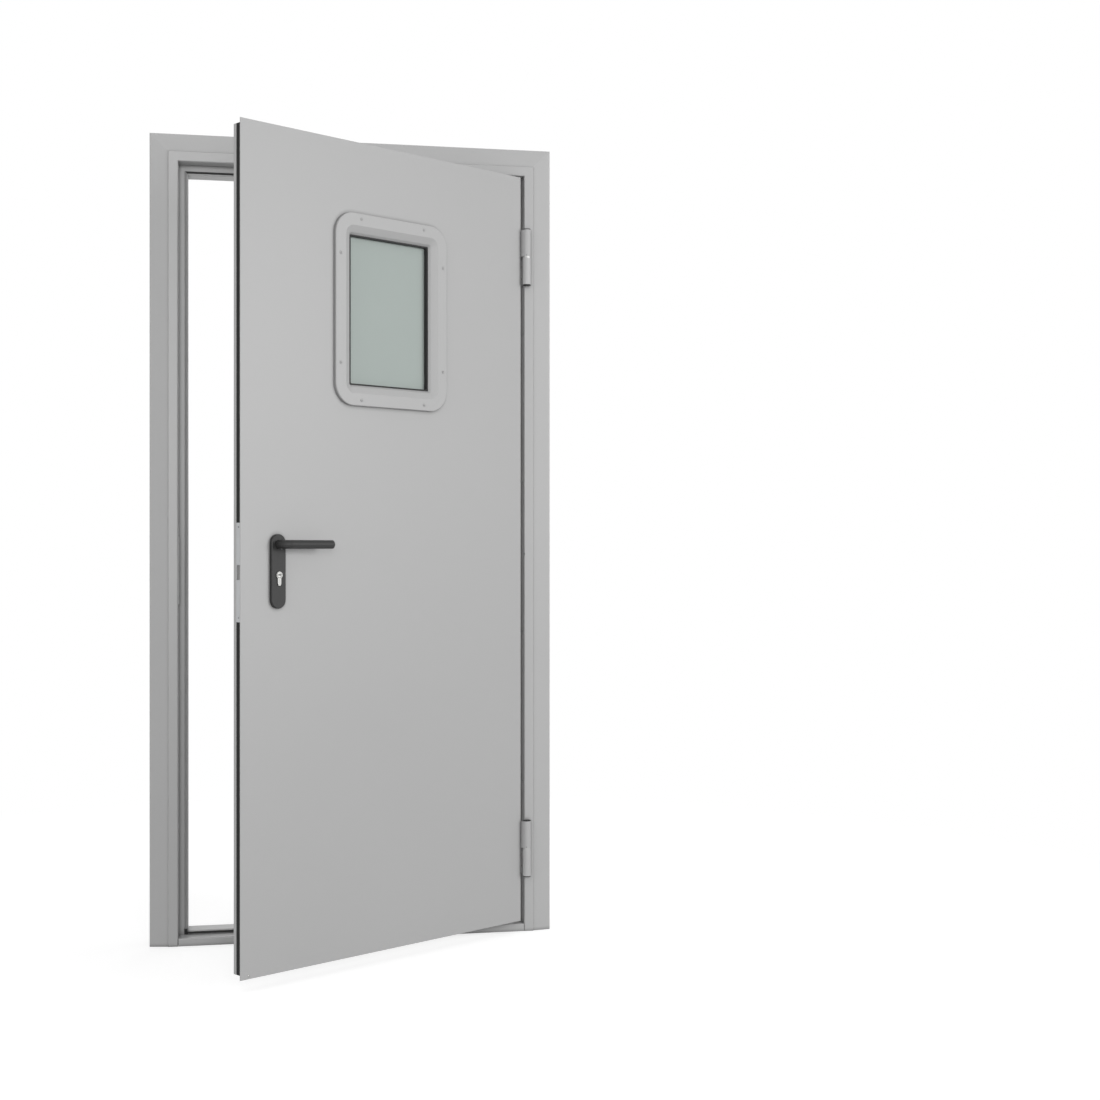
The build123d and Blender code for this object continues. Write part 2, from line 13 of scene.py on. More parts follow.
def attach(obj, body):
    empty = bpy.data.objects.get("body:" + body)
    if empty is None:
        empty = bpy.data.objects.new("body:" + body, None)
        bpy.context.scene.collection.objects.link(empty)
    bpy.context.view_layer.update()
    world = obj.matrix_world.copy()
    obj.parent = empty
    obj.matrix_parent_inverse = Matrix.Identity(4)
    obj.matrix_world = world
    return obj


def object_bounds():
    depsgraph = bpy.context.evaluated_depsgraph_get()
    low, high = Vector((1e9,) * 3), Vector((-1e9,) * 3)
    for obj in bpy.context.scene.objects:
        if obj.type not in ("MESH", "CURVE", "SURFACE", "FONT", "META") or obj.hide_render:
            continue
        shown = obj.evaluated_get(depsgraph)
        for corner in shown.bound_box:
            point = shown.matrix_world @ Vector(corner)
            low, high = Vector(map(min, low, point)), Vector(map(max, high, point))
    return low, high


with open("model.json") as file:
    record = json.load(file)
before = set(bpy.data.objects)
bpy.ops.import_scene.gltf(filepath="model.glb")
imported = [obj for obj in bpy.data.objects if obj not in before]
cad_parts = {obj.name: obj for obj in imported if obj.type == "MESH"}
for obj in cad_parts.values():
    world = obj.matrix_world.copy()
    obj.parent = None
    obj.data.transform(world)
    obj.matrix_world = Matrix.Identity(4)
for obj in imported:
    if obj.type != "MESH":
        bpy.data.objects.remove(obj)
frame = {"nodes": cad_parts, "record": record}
cad_low, cad_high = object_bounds()
nodes = frame["nodes"]

# Camera
CAMERA_PLACE = (-0.35828, -4.44959, 1.02093)
CAMERA_TURN = 11.248          # degrees from straight ahead towards the hinge side
CAMERA_LENS = 55.03           # mm on a sensor 36 mm wide
SENSOR_WIDTH = 36.0

# The leaf's own place: closed, its front lies at FACE_Y and its width along X
REST_OPENING = math.radians(33.6)
PIN = Vector((0.4575, -0.0305, 0.0))
FACE_Y = -0.018
LEAF_THICKNESS = 0.040
BACK_Y = FACE_Y + LEAF_THICKNESS
LEAF_TURN = Matrix.Translation(PIN) @ Matrix.Rotation(REST_OPENING, 4, "Z") @ Matrix.Translation(-PIN)

# Places on the closed leaf
HANDLE_X = -0.345
LEVER_Z = 1.034
LEVER_RADIUS = 0.01025
LEVER_NECK = 0.0195           # from the leaf's face to the lever's grub screw
CYLINDER_Z = 0.962
PLATE_THICKNESS = 0.009
CYLINDER_PROUD = 0.0025
TRIM_MIDDLE_Z = 1.607
TRIM_WIDTH = 0.354
TRIM_HEIGHT = 0.469
TRIM_PROUD = 0.009
TRIM_SCREW_INSET = 0.0135
TRIM_SCREW_ALONG_X = 0.100    # half the pitch of the screws above and below the glass
TRIM_SCREW_ALONG_Z = 0.1325   # and beside it
TRIM_SCREW_RADIUS = 0.0032
TRIM_SCREW_HEIGHT = 0.0016
TRIM_SCREW_DEPTH = 0.0009
TRIM_SCREW_CROSS = (0.0017, 0.00045)
TRIM_SCREW_TURN = 23.0        # degrees from one screw's recess to the next
FOREND_Z = 0.969
FOREND_X = -0.4395
FOREND_SCREW_REACH = 0.105
LOCK_SCREW_RADIUS = 0.0038
LOCK_SCREW_CROSS = (0.0021, 0.0005)
LOCK_Y = -0.0005
PLUG_RADIUS = 0.0066          # the cylinder's turning plug
PLUG_HEIGHT = 0.0006
KEYWAY = (0.0044, 0.00095)    # half its length and half its width
KEYWAY_BEVEL = (0.0050, 0.0015)
GRUB_RADIUS = 0.0026
GRUB_SOCKET = 0.0013
FOOT_PLUG = (-0.424, 0.0376)
FOOT_PLUG_RADIUS = 0.0026

# Places in the frame
REVEAL_X = 0.4525
STRIKE_THICKNESS = 0.002
STRIKE_SCREW_REACH = 0.076
STOP_Y = 0.030
SEAL_MIDDLE_X = 0.434
SEAL_HEIGHT = 0.003
SEAL_END_HALF_WIDTH = 0.0038
SEAL_END_HALF_HEIGHT = 0.0075
SEAL_END_BEVEL = 0.0006
SEAL_END_GAP = 0.0004
SILL_TOP = 0.020
FACE_EDGE_RADIUS = 0.004
MID_FIXING_Z = 1.0106
MID_FIXING_RADIUS = 0.0021
MID_FIXING_SOCKET = 0.0011

# Hinges
HINGE_HEIGHTS = (0.224, 1.803)
KNUCKLE_RADIUS = 0.0105
KNUCKLE_LENGTH = 0.072
HALF_WASHER = 0.001
BLADE_FACE_FRAME = 0.449
BLADE_FACE_LEAF = 0.4505
BLADE_SCREW_Y = 0.004
BLADE_SCREW_SHARES = (0.28, 0.72)
BLADE_SCREW_RADIUS = 0.0042
BLADE_SCREW_SOCKET = 0.0022
SET_SCREW = (0.003, 0.01006, 0.0045)    # beside, before and above the pin's joint
SET_SCREW_AXIS = (-0.29, -1.0, 0.0)
SET_SCREW_RADIUS = 0.0016
SET_SCREW_SOCKET = 0.0009
CAP_INSET = 0.0003
HINGE_PLATE_X = 0.454
HINGE_PLATE_EDGES = (-0.008, 0.024)
HINGE_PLATE_HALF = 0.085
WELD_SPREAD = 0.8             # of the plate's half height
WELD_LENGTH = 0.024
WELD_RADIUS = 0.0021
WELD_SINK = 0.0004
WELD_STEPS = 25
WELD_RIPPLES = 6

# Meshes
RING_POINTS = 48
SMOOTH_ANGLE = 32.0           # degrees; sharper folds stay crisp
TINY = 1e-6

# Studio
WHITE = (1.0, 1.0, 1.0, 1.0)
SURROUND_LEVEL = 0.62         # as a light; it looks plain white
FLOOR_LIFT = 0.62
FLOOR_HALF = 14.0
FLOOR_DROP = 0.0004           # below the door's foot
FLOOR_FADE = (1.0, 2.6)       # from the door to where the floor is plain white
FLOOR_GREYS = (196, 200)      # on the screen
FLOOR_BOUNCE = 172            # the grey that lights the door from below
CAMERA_REACH = 60.0


def linear(grey):
    """The linear value of a grey given as 0 to 255 on the screen."""
    share = grey / 255.0
    return ((share + 0.055) / 1.055) ** 2.4 if share > 0.04045 else share / 12.92


def grey_colour(red, green=None, blue=None):
    green = red if green is None else green
    blue = red if blue is None else blue
    return (linear(red), linear(green), linear(blue), 1.0)


# Sockets of the mix node in its colour mode: share, first and second colour, and the result
COLOUR_MIX_INPUTS = (0, 6, 7)
COLOUR_MIX_OUTPUT = 2


class Nodes:
    """A small helper that adds and links shader nodes in one material or in the world."""

    def __init__(self, owner):
        self.owner = owner
        owner.use_nodes = True
        self.tree = owner.node_tree
        self.tree.nodes.clear()

    def fill(self, node, index, value):
        if isinstance(value, bpy.types.NodeSocket):
            self.tree.links.new(value, node.inputs[index])
        else:
            node.inputs[index].default_value = value

    def add(self, kind, inputs=None, **settings):
        node = self.tree.nodes.new(kind)
        for key, value in settings.items():
            setattr(node, key, value)
        for key, value in (inputs or {}).items():
            self.fill(node, key, value)
        return node

    def noise(self, place, scale, detail=4.0, roughness=0.55):
        node = self.add("ShaderNodeTexNoise", {"Vector": place, "Scale": scale, "Detail": detail,
                                               "Roughness": roughness})
        return node.outputs["Fac"]

    def spread(self, value, low, high, start=0.0, end=1.0):
        """A value between start and end mapped to low and high."""
        node = self.add("ShaderNodeMapRange", {"Value": value, "From Min": start, "From Max": end,
                                               "To Min": low, "To Max": high})
        return node.outputs["Result"]

    def mix_colour(self, share, first, second):
        node = self.add("ShaderNodeMix", data_type="RGBA")
        for index, value in zip(COLOUR_MIX_INPUTS, (share, first, second)):
            self.fill(node, index, value)
        return node.outputs[COLOUR_MIX_OUTPUT]

    def combine(self, first, second, way="ADD"):
        return self.add("ShaderNodeMath", {0: first, 1: second}, operation=way).outputs[0]

    def pick(self, share, first, second):
        """The first shader where the share is 0 and the second where it is 1."""
        return self.add("ShaderNodeMixShader", {0: share, 1: first.outputs[0], 2: second.outputs[0]})

    def place(self):
        return self.add("ShaderNodeTexCoord").outputs["Object"]

    def stretched(self, place, x, y, z):
        return self.add("ShaderNodeMapping", {"Vector": place, "Scale": (x, y, z)}).outputs["Vector"]

    def bump(self, height, strength, distance, under=None):
        inputs = {"Height": height, "Strength": strength, "Distance": distance}
        if under is not None:
            inputs["Normal"] = under
        return self.add("ShaderNodeBump", inputs).outputs["Normal"]

    def edge_wear(self, radius, low, high):
        """High where the surface bends sharply, from the angle to a rounded-off normal."""
        bevel = self.add("ShaderNodeBevel", {"Radius": radius}, samples=4).outputs["Normal"]
        normal = self.add("ShaderNodeNewGeometry").outputs["Normal"]
        dot = self.add("ShaderNodeVectorMath", {0: bevel, 1: normal}, operation="DOT_PRODUCT")
        return self.spread(dot.outputs["Value"], 1.0, 0.0, low, high)

    def crevice(self, reach, low, high):
        """Near 1 in tight corners and 0 on open surfaces; the mask for painted shade."""
        shade = self.add("ShaderNodeAmbientOcclusion", {"Distance": reach}, samples=8).outputs["AO"]
        return self.spread(shade, 1.0, 0.0, low, high)

    def finish(self, shader, output="ShaderNodeOutputMaterial"):
        self.add(output, {"Surface": shader.outputs[0]})
        return self.owner


def powder_coat(name, grey, gloss_rough=0.42):
    """A fine satin powder coat: slight mottling, orange-peel bump, paler rubbed edges, and painted shade in
    corners and gaps.
    """
    n = Nodes(bpy.data.materials.new(name))
    place = n.place()
    broad = n.noise(place, 2.2, 3.0)
    fine = n.noise(place, 900.0, 2.0)
    grain = n.noise(place, 260.0, 3.0)
    tone = n.mix_colour(broad, grey_colour(grey - 2), grey_colour(grey + 2))
    speck = n.mix_colour(n.spread(fine, 0.0, 0.12), tone, grey_colour(grey - 22))
    worn = n.edge_wear(0.0012, 0.80, 0.97)
    patchy = n.combine(worn, n.noise(place, 38.0, 5.0), "MULTIPLY")
    colour = n.mix_colour(n.combine(patchy, 0.32, "MULTIPLY"), speck, grey_colour(min(grey + 34, 245)))
    # Painted shade: the paint turns towards a deep grey in tight corners, grooves and gaps, from an occlusion
    # mask
    painted_crevice_shade = n.combine(n.crevice(0.011, 0.45, 0.97), 0.6, "MULTIPLY")
    colour = n.mix_colour(painted_crevice_shade, colour, grey_colour(0.42 * grey))
    mottle = n.combine(n.combine(grain, 0.7, "MULTIPLY"), n.combine(broad, 0.3, "MULTIPLY"))
    rough = n.spread(mottle, gloss_rough - 0.07, gloss_rough + 0.07)
    peel = n.bump(grain, 0.05, 0.0004)
    normal = n.bump(fine, 0.06, 0.0002, peel)
    shader = n.add("ShaderNodeBsdfPrincipled", {"Base Color": colour, "Roughness": rough, "Normal": normal,
                                                "Specular IOR Level": 0.45})
    return n.finish(shader)


def metal(name, colour, rough, brushed=(1.0, 1.0, 1.0), wear=0.15):
    """A plated or turned steel surface with fine lines along one direction."""
    n = Nodes(bpy.data.materials.new(name))
    place = n.place()
    lines = n.noise(n.stretched(place, *brushed), 700.0, 4.0)
    cloud = n.noise(place, 30.0, 4.0)
    dark = tuple(c * 0.78 for c in colour[:3]) + (1.0,)
    bright = tuple(min(c * 1.15, 1.0) for c in colour[:3]) + (1.0,)
    tone = n.mix_colour(cloud, dark, colour)
    worn = n.edge_wear(0.0006, 0.75, 0.97)
    tone = n.mix_colour(n.combine(worn, wear, "MULTIPLY"), tone, bright)
    mottle = n.combine(n.combine(lines, 0.6, "MULTIPLY"), n.combine(cloud, 0.4, "MULTIPLY"))
    roughness = n.spread(mottle, rough - 0.08, rough + 0.10)
    normal = n.bump(lines, 0.10, 0.0002)
    shader = n.add("ShaderNodeBsdfPrincipled", {"Base Color": tone, "Roughness": roughness, "Normal": normal,
                                                "Metallic": 1.0})
    return n.finish(shader)


def moulded(name, grey, rough, grain_scale=1400.0, grain=0.25, edge=18):
    """Matt black moulded plastic or rubber: fine grain, paler rubbed edges."""
    n = Nodes(bpy.data.materials.new(name))
    place = n.place()
    fine = n.noise(place, grain_scale, 3.0)
    cloud = n.noise(place, 24.0, 4.0)
    tone = n.mix_colour(cloud, grey_colour(max(grey - 5, 2)), grey_colour(grey + 5))
    worn = n.edge_wear(0.0010, 0.80, 0.97)
    tone = n.mix_colour(n.combine(worn, 0.6, "MULTIPLY"), tone, grey_colour(grey + edge))
    mottle = n.combine(n.combine(fine, 0.5, "MULTIPLY"), n.combine(cloud, 0.5, "MULTIPLY"))
    roughness = n.spread(mottle, rough - 0.07, rough + 0.07)
    normal = n.bump(fine, grain, 0.00015)
    shader = n.add("ShaderNodeBsdfPrincipled", {"Base Color": tone, "Roughness": roughness, "Normal": normal,
                                                "Specular IOR Level": 0.4})
    return n.finish(shader)


def wool(name):
    """Pressed mineral wool: olive fibres in layers."""
    n = Nodes(bpy.data.materials.new(name))
    place = n.place()
    layers = n.noise(n.stretched(place, 1.0, 9.0, 1.0), 160.0, 6.0, 0.7)
    clumps = n.noise(place, 45.0, 5.0)
    tone = n.mix_colour(layers, grey_colour(132, 122, 88), grey_colour(176, 168, 128))
    tone = n.mix_colour(n.spread(clumps, 0.0, 0.5), tone, grey_colour(110, 102, 74))
    normal = n.bump(layers, 0.8, 0.002)
    shader = n.add("ShaderNodeBsdfPrincipled", {"Base Color": tone, "Roughness": n.spread(clumps, 0.82, 0.98),
                                                "Normal": normal})
    return n.finish(shader)


def pane(name):
    """Fire-resisting glass: a slightly milky grey-green pane that still lets light through."""
    n = Nodes(bpy.data.materials.new(name))
    place = n.place()
    cloud = n.noise(place, 3.0, 3.0)
    smear = n.noise(n.stretched(place, 1.0, 1.0, 0.25), 26.0, 5.0)
    tone = n.mix_colour(cloud, grey_colour(168, 178, 174), grey_colour(172, 181, 177))
    rough = n.spread(smear, 0.05, 0.14)
    normal = n.bump(cloud, 0.02, 0.001)
    shader = n.add("ShaderNodeBsdfPrincipled", {"Base Color": tone, "Roughness": rough, "Normal": normal,
                                                "Transmission Weight": 0.12, "IOR": 1.5})
    return n.finish(shader)


def shade_smooth(mesh):
    """Shades round stretches smooth and keeps folds crisp."""
    mesh.polygons.foreach_set("use_smooth", [True] * len(mesh.polygons))
    mesh.set_sharp_from_angle(angle=math.radians(SMOOTH_ANGLE))


def dress(material, name):
    """Gives a material to one node."""
    mesh = nodes[name].data
    mesh.materials.clear()
    mesh.materials.append(material)
    shade_smooth(mesh)


FRAME_PAINT = powder_coat("frame_paint", 180, 0.34)
LEAF_PAINT = powder_coat("leaf_paint", 176)
ZINC = metal("zinc_steel", (0.50, 0.51, 0.52, 1.0), 0.36, (1.0, 1.0, 0.06))
STEEL = metal("bare_steel", (0.55, 0.55, 0.54, 1.0), 0.30, (1.0, 1.0, 0.2))
NICKEL = metal("nickel", (0.33, 0.33, 0.32, 1.0), 0.30, (1.0, 0.1, 1.0))
SEAL = moulded("black_seal", 34, 0.62, 900.0, 0.2, 16)
STRIP = moulded("expanding_strip", 12, 0.80, 600.0, 0.4, 12)
HANDLE = moulded("black_handle", 40, 0.48, 1500.0, 0.12, 14)
GREY_SEAL = moulded("grey_seal", 152, 0.60, 900.0, 0.2, 10)
LATCH = metal("latch_steel", (0.24, 0.24, 0.24, 1.0), 0.34, (1.0, 1.0, 0.2))
DULL_ZINC = metal("dull_zinc", (0.28, 0.28, 0.28, 1.0), 0.55, (1.0, 1.0, 0.06))
# Painted shade: a near-black finish on the walls and floors of screw recesses, sockets and the keyway,
# standing in for the shade inside them
RECESS_SHADE = moulded("painted_recess_shade", 20, 0.70, 900.0, 0.2, 8)
BRIGHT = metal("bright_zinc", (0.42, 0.42, 0.41, 1.0), 0.36)
WELD = metal("weld_steel", (0.34, 0.33, 0.32, 1.0), 0.45)
WOOL = wool("mineral_wool")
PANE = pane("pane")

SLOTS = {
    "frame_paint": FRAME_PAINT,
    "leaf_paint": LEAF_PAINT,
    "zinc_steel": ZINC,
    "bare_steel": STEEL,
    "nickel": NICKEL,
    "black_seal": SEAL,
    "expanding_strip": STRIP,
    "black_handle": HANDLE,
    "mineral_wool": WOOL,
    "pane": PANE,
}
for part in frame["record"]["subparts"]:
    dress(SLOTS[part["material_slot"]], part["node"])

# Both side seals are grey, and the latch and the strike plate are dull
dress(GREY_SEAL, "seal_lock_side")
dress(GREY_SEAL, "seal_hinge_side")
dress(LATCH, "lock_latch")
dress(DULL_ZINC, "strike_plate")


def spot(place, axis, on_leaf=True):
    """A frame at a place, its Z along an axis; on the leaf, both are given for the closed leaf."""
    turn = Vector(axis).to_track_quat("Z", "Y").to_matrix().to_4x4()
    local = Matrix.Translation(Vector(place)) @ turn
    return LEAF_TURN @ local if on_leaf else local


def ring(radius, height, shape=None):
    """A closed ring of points: round, or with a radius that follows the angle."""
    points = []
    for i in range(RING_POINTS):
        angle = 2 * math.pi * (i + 0.5) / RING_POINTS
        reach = shape(angle) if shape else radius
        points.append(Vector((reach * math.cos(angle), reach * math.sin(angle), height)))
    return points


def cross(length, width):
    """The outline of a cross-shaped recess."""
    def reach(angle):
        turn = (angle + math.pi / 4) % (math.pi / 2) - math.pi / 4
        return min(length / math.cos(turn), width / max(abs(math.sin(turn)), TINY))
    return reach


def bar(length, width):
    """The outline of an oblong, from its half length and half width."""
    def reach(angle):
        return min(length / max(abs(math.cos(angle)), TINY), width / max(abs(math.sin(angle)), TINY))
    return reach


def hexagon(half_flat):
    """The outline of a hexagon socket."""
    def reach(angle):
        turn = (angle + math.pi / 6) % (math.pi / 3) - math.pi / 6
        return half_flat / math.cos(turn)
    return reach


class Piece:
    """A mesh built from stacked rings, which then rides on a body."""

    def __init__(self, name):
        self.name = name
        self.work = bmesh.new()

    def stack(self, place, rings, recess_shade_from=None):
        """Joins rings one after another and closes both ends; the last ones may take the second material,
        painted shade for a recess.
        """
        rows = [[self.work.verts.new(place @ point) for point in points] for points in rings]
        count = len(rows[0])
        for index, (low, high) in enumerate(zip(rows, rows[1:])):
            for i in range(count):
                k = (i + 1) % count
                face = self.work.faces.new((low[i], low[k], high[k], high[i]))
                face.material_index = int(recess_shade_from is not None and index >= recess_shade_from)
        for row, points, dark in ((rows[0], rings[0], False), (rows[-1], rings[-1], recess_shade_from is not None)):
            middle = self.work.verts.new(place @ Vector((0.0, 0.0, points[0].z)))
            for i in range(count):
                face = self.work.faces.new((row[i], row[(i + 1) % count], middle))
                face.material_index = int(dark)

    def done(self, body, slot, *materials):
        bmesh.ops.recalc_face_normals(self.work, faces=self.work.faces)
        mesh = bpy.data.meshes.new(self.name)
        self.work.to_mesh(mesh)
        self.work.free()
        for material in materials:
            mesh.materials.append(material)
        shade_smooth(mesh)
        obj = bpy.data.objects.new(self.name, mesh)
        bpy.context.scene.collection.objects.link(obj)
        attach(obj, body)
        return obj


def pan_screw(piece, place, radius, height, recess, depth, root=0.0006):
    """A screw with a low domed head and a recess cut into it."""
    piece.stack(place, [
        ring(radius, -root),
        ring(radius, 0.35 * height),
        ring(0.94 * radius, 0.68 * height),
        ring(0.80 * radius, 0.92 * height),
        ring(0.66 * radius, height),
        ring(0.0, height, recess),
        ring(0.0, height - depth, recess),
    ])


def flush_screw(piece, place, radius, recess, stand=0.00025, root=0.0004):
    """A countersunk screw, hardly proud, with a fine rim and painted shade in its recess."""
    piece.stack(place, [
        ring(radius, -root),
        ring(radius, 0.6 * stand),
        ring(0.93 * radius, stand),
        ring(0.0, stand, recess),
        ring(0.0, 0.3 * stand, recess),
    ], recess_shade_from=3)


def window_screws(front):
    """Eight small screws through one window trim."""
    side = "front" if front else "back"
    y = FACE_Y - TRIM_PROUD if front else BACK_Y + TRIM_PROUD
    axis = (0.0, -1.0 if front else 1.0, 0.0)
    high = TRIM_HEIGHT / 2 - TRIM_SCREW_INSET
    wide = TRIM_WIDTH / 2 - TRIM_SCREW_INSET
    spots = [(x, z) for x in (-TRIM_SCREW_ALONG_X, TRIM_SCREW_ALONG_X) for z in (-high, high)]
    spots += [(x, z) for x in (-wide, wide) for z in (-TRIM_SCREW_ALONG_Z, TRIM_SCREW_ALONG_Z)]
    recess = cross(*TRIM_SCREW_CROSS)
    piece = Piece("window_screws_" + side)
    for index, (x, z) in enumerate(spots):
        turn = Matrix.Rotation(math.radians(TRIM_SCREW_TURN * index), 4, "Z")
        place = spot((x, y, TRIM_MIDDLE_Z + z), axis) @ turn
        pan_screw(piece, place, TRIM_SCREW_RADIUS, TRIM_SCREW_HEIGHT, recess, TRIM_SCREW_DEPTH)
    piece.done("leaf", "leaf_paint", LEAF_PAINT)


def lock_screws():
    """Two countersunk screws in the lock's forend and two in the strike plate."""
    forend = Piece("forend_screws")
    strike = Piece("strike_screws")
    for sign in (-1, 1):
        place = spot((FOREND_X, LOCK_Y, FOREND_Z + sign * FOREND_SCREW_REACH), (-1.0, 0.0, 0.0))
        flush_screw(forend, place, LOCK_SCREW_RADIUS, cross(*LOCK_SCREW_CROSS))
        place = spot((-REVEAL_X + STRIKE_THICKNESS, LOCK_Y, FOREND_Z + sign * STRIKE_SCREW_REACH),
                     (1.0, 0.0, 0.0), False)
        flush_screw(strike, place, LOCK_SCREW_RADIUS, cross(*LOCK_SCREW_CROSS))
    forend.done("leaf", "zinc_steel", ZINC, RECESS_SHADE)
    strike.done("frame", "zinc_steel", ZINC, RECESS_SHADE)


def cylinder_plug(front):
    """The turning plug in the cylinder's face, with its level keyway."""
    side = "front" if front else "back"
    reach = PLATE_THICKNESS + CYLINDER_PROUD
    y = FACE_Y - reach if front else BACK_Y + reach
    place = spot((HANDLE_X, y, CYLINDER_Z), (0.0, -1.0 if front else 1.0, 0.0))
    keyway = bar(*KEYWAY)
    piece = Piece("cylinder_plug_" + side)
    # The keyway's walls and floor take the second material: painted shade for the depth of the keyway
    piece.stack(place, [
        ring(PLUG_RADIUS, -0.0004),
        ring(PLUG_RADIUS, 0.0002),
        ring(PLUG_RADIUS - 0.0004, 0.0005),
        ring(PLUG_RADIUS - 0.0012, PLUG_HEIGHT),
        ring(0.0, PLUG_HEIGHT, bar(*KEYWAY_BEVEL)),
        ring(0.0, PLUG_HEIGHT - 0.00015, keyway),
        ring(0.0, 0.0001, keyway),
    ], recess_shade_from=5)
    piece.done("leaf", "nickel", NICKEL, RECESS_SHADE)


def lever_grub(front):
    """The grub screw in the underside of a lever's neck."""
    side = "front" if front else "back"
    y = FACE_Y - LEVER_NECK if front else BACK_Y + LEVER_NECK
    place = spot((HANDLE_X, y, LEVER_Z - LEVER_RADIUS), (0.0, 0.0, -1.0))
    piece = Piece("lever_grub_" + side)
    flush_screw(piece, place, GRUB_RADIUS, hexagon(GRUB_SOCKET), stand=0.00012, root=0.0009)
    piece.done("lever", "bare_steel", STEEL, RECESS_SHADE)


def hinge_caps():
    """Black caps on both ends of each hinge's barrel; the upper one rides with the leaf."""
    reach = KNUCKLE_LENGTH + HALF_WASHER
    radius = KNUCKLE_RADIUS - CAP_INSET
    for name, z in zip(("lower", "upper"), HINGE_HEIGHTS):
        for body, sign in (("frame", -1), ("leaf", 1)):
            piece = Piece(f"hinge_{name}_cap_{body}")
            place = spot((PIN.x, PIN.y, z + sign * reach), (0.0, 0.0, float(sign)), body == "leaf")
            piece.stack(place, [
                ring(radius - 0.0004, 0.0),
                ring(radius, 0.0004),
                ring(radius, 0.0018),
                ring(radius - 0.0007, 0.0024),
                ring(0.45 * radius, 0.0027),
                ring(0.30 * radius, 0.0024),
            ])
            piece.done(body, "black_seal", SEAL)


def hinge_marks():
    """Screws in the hinge blades and the small set screw over each hinge's joint."""
    blades = {"frame": Piece("hinge_screws_frame"), "leaf": Piece("hinge_screws_leaf")}
    sets = Piece("hinge_set_screws")
    socket = hexagon(BLADE_SCREW_SOCKET)
    beside, before, above = SET_SCREW
    for z in HINGE_HEIGHTS:
        for share in BLADE_SCREW_SHARES:
            low = z - HALF_WASHER - share * KNUCKLE_LENGTH
            high = z + HALF_WASHER + share * KNUCKLE_LENGTH
            on_frame = spot((BLADE_FACE_FRAME, BLADE_SCREW_Y, low), (-1.0, 0.0, 0.0), False)
            flush_screw(blades["frame"], on_frame, BLADE_SCREW_RADIUS, socket)
            on_leaf = spot((BLADE_FACE_LEAF, BLADE_SCREW_Y, high), (1.0, 0.0, 0.0))
            flush_screw(blades["leaf"], on_leaf, BLADE_SCREW_RADIUS, socket)
        joint = spot((PIN.x - beside, PIN.y - before, z + above), SET_SCREW_AXIS, False)
        flush_screw(sets, joint, SET_SCREW_RADIUS, hexagon(SET_SCREW_SOCKET), stand=0.0002, root=0.0006)
    blades["frame"].done("frame", "zinc_steel", BRIGHT, RECESS_SHADE)
    blades["leaf"].done("leaf", "zinc_steel", BRIGHT, RECESS_SHADE)
    sets.done("leaf", "leaf_paint", LEAF_PAINT, RECESS_SHADE)


def foot_plugs():
    """Small domed plugs near the leaf's foot, one on each face."""
    x, z = FOOT_PLUG
    piece = Piece("foot_plugs")
    for y, way in ((FACE_Y, -1.0), (BACK_Y, 1.0)):
        piece.stack(spot((x, y, z), (0.0, way, 0.0)), [
            ring(FOOT_PLUG_RADIUS, -0.0004),
            ring(FOOT_PLUG_RADIUS, 0.0003),
            ring(FOOT_PLUG_RADIUS - 0.0004, 0.0008),
            ring(FOOT_PLUG_RADIUS / 2, 0.0011),
            ring(0.0005, 0.0012),
        ])
    piece.done("leaf", "zinc_steel", BRIGHT)


def mid_fixing():
    """The small fixing on the hinge jamb's rounded edge, half way up."""
    lean = FACE_EDGE_RADIUS * (1.0 - math.sqrt(0.5))
    place = spot((REVEAL_X + lean, FACE_Y + lean, MID_FIXING_Z), (-1.0, -1.0, 0.0), False)
    piece = Piece("hinge_jamb_fixing")
    flush_screw(piece, place, MID_FIXING_RADIUS, hexagon(MID_FIXING_SOCKET), stand=0.0005, root=0.0010)
    piece.done("frame", "bare_steel", STEEL, RECESS_SHADE)


def seal_ends():
    """Black end pieces where the side seals meet the threshold."""
    piece = Piece("seal_end_pieces")
    outline = bar(SEAL_END_HALF_WIDTH, SEAL_END_HALF_HEIGHT)
    bevelled = bar(SEAL_END_HALF_WIDTH - SEAL_END_BEVEL, SEAL_END_HALF_HEIGHT - SEAL_END_BEVEL)
    z = SILL_TOP + SEAL_END_HALF_HEIGHT + SEAL_END_GAP
    for sign in (-1, 1):
        piece.stack(spot((sign * SEAL_MIDDLE_X, STOP_Y, z), (0.0, -1.0, 0.0), False), [
            ring(0.0, 0.0, outline),
            ring(0.0, SEAL_HEIGHT - SEAL_END_BEVEL, outline),
            ring(0.0, SEAL_HEIGHT, bevelled),
        ])
    piece.done("frame", "black_seal", SEAL)


def weld_beads():
    """Short scaled welds that hold each hinge's plate behind the reveal."""
    piece = Piece("hinge_plate_welds")
    for z in HINGE_HEIGHTS:
        for y in HINGE_PLATE_EDGES:
            for along in (-WELD_SPREAD, 0.0, WELD_SPREAD):
                start = z + along * HINGE_PLATE_HALF * WELD_SPREAD - WELD_LENGTH / 2
                rings = []
                for i in range(WELD_STEPS):
                    share = i / (WELD_STEPS - 1)
                    swell = math.sqrt(max(math.sin(math.pi * share), 0.03))
                    scale = 0.86 + 0.14 * abs(math.cos(math.pi * WELD_RIPPLES * share))
                    rings.append(ring(WELD_RADIUS * swell * scale, share * WELD_LENGTH))
                piece.stack(spot((HINGE_PLATE_X + WELD_SINK, y, start), (0.0, 0.0, 1.0), False), rings)
    piece.done("frame", "zinc_steel", WELD)


for facing in (True, False):
    window_screws(facing)
    cylinder_plug(facing)
    lever_grub(facing)
lock_screws()
hinge_caps()
hinge_marks()
foot_plugs()
mid_fixing()
seal_ends()
weld_beads()


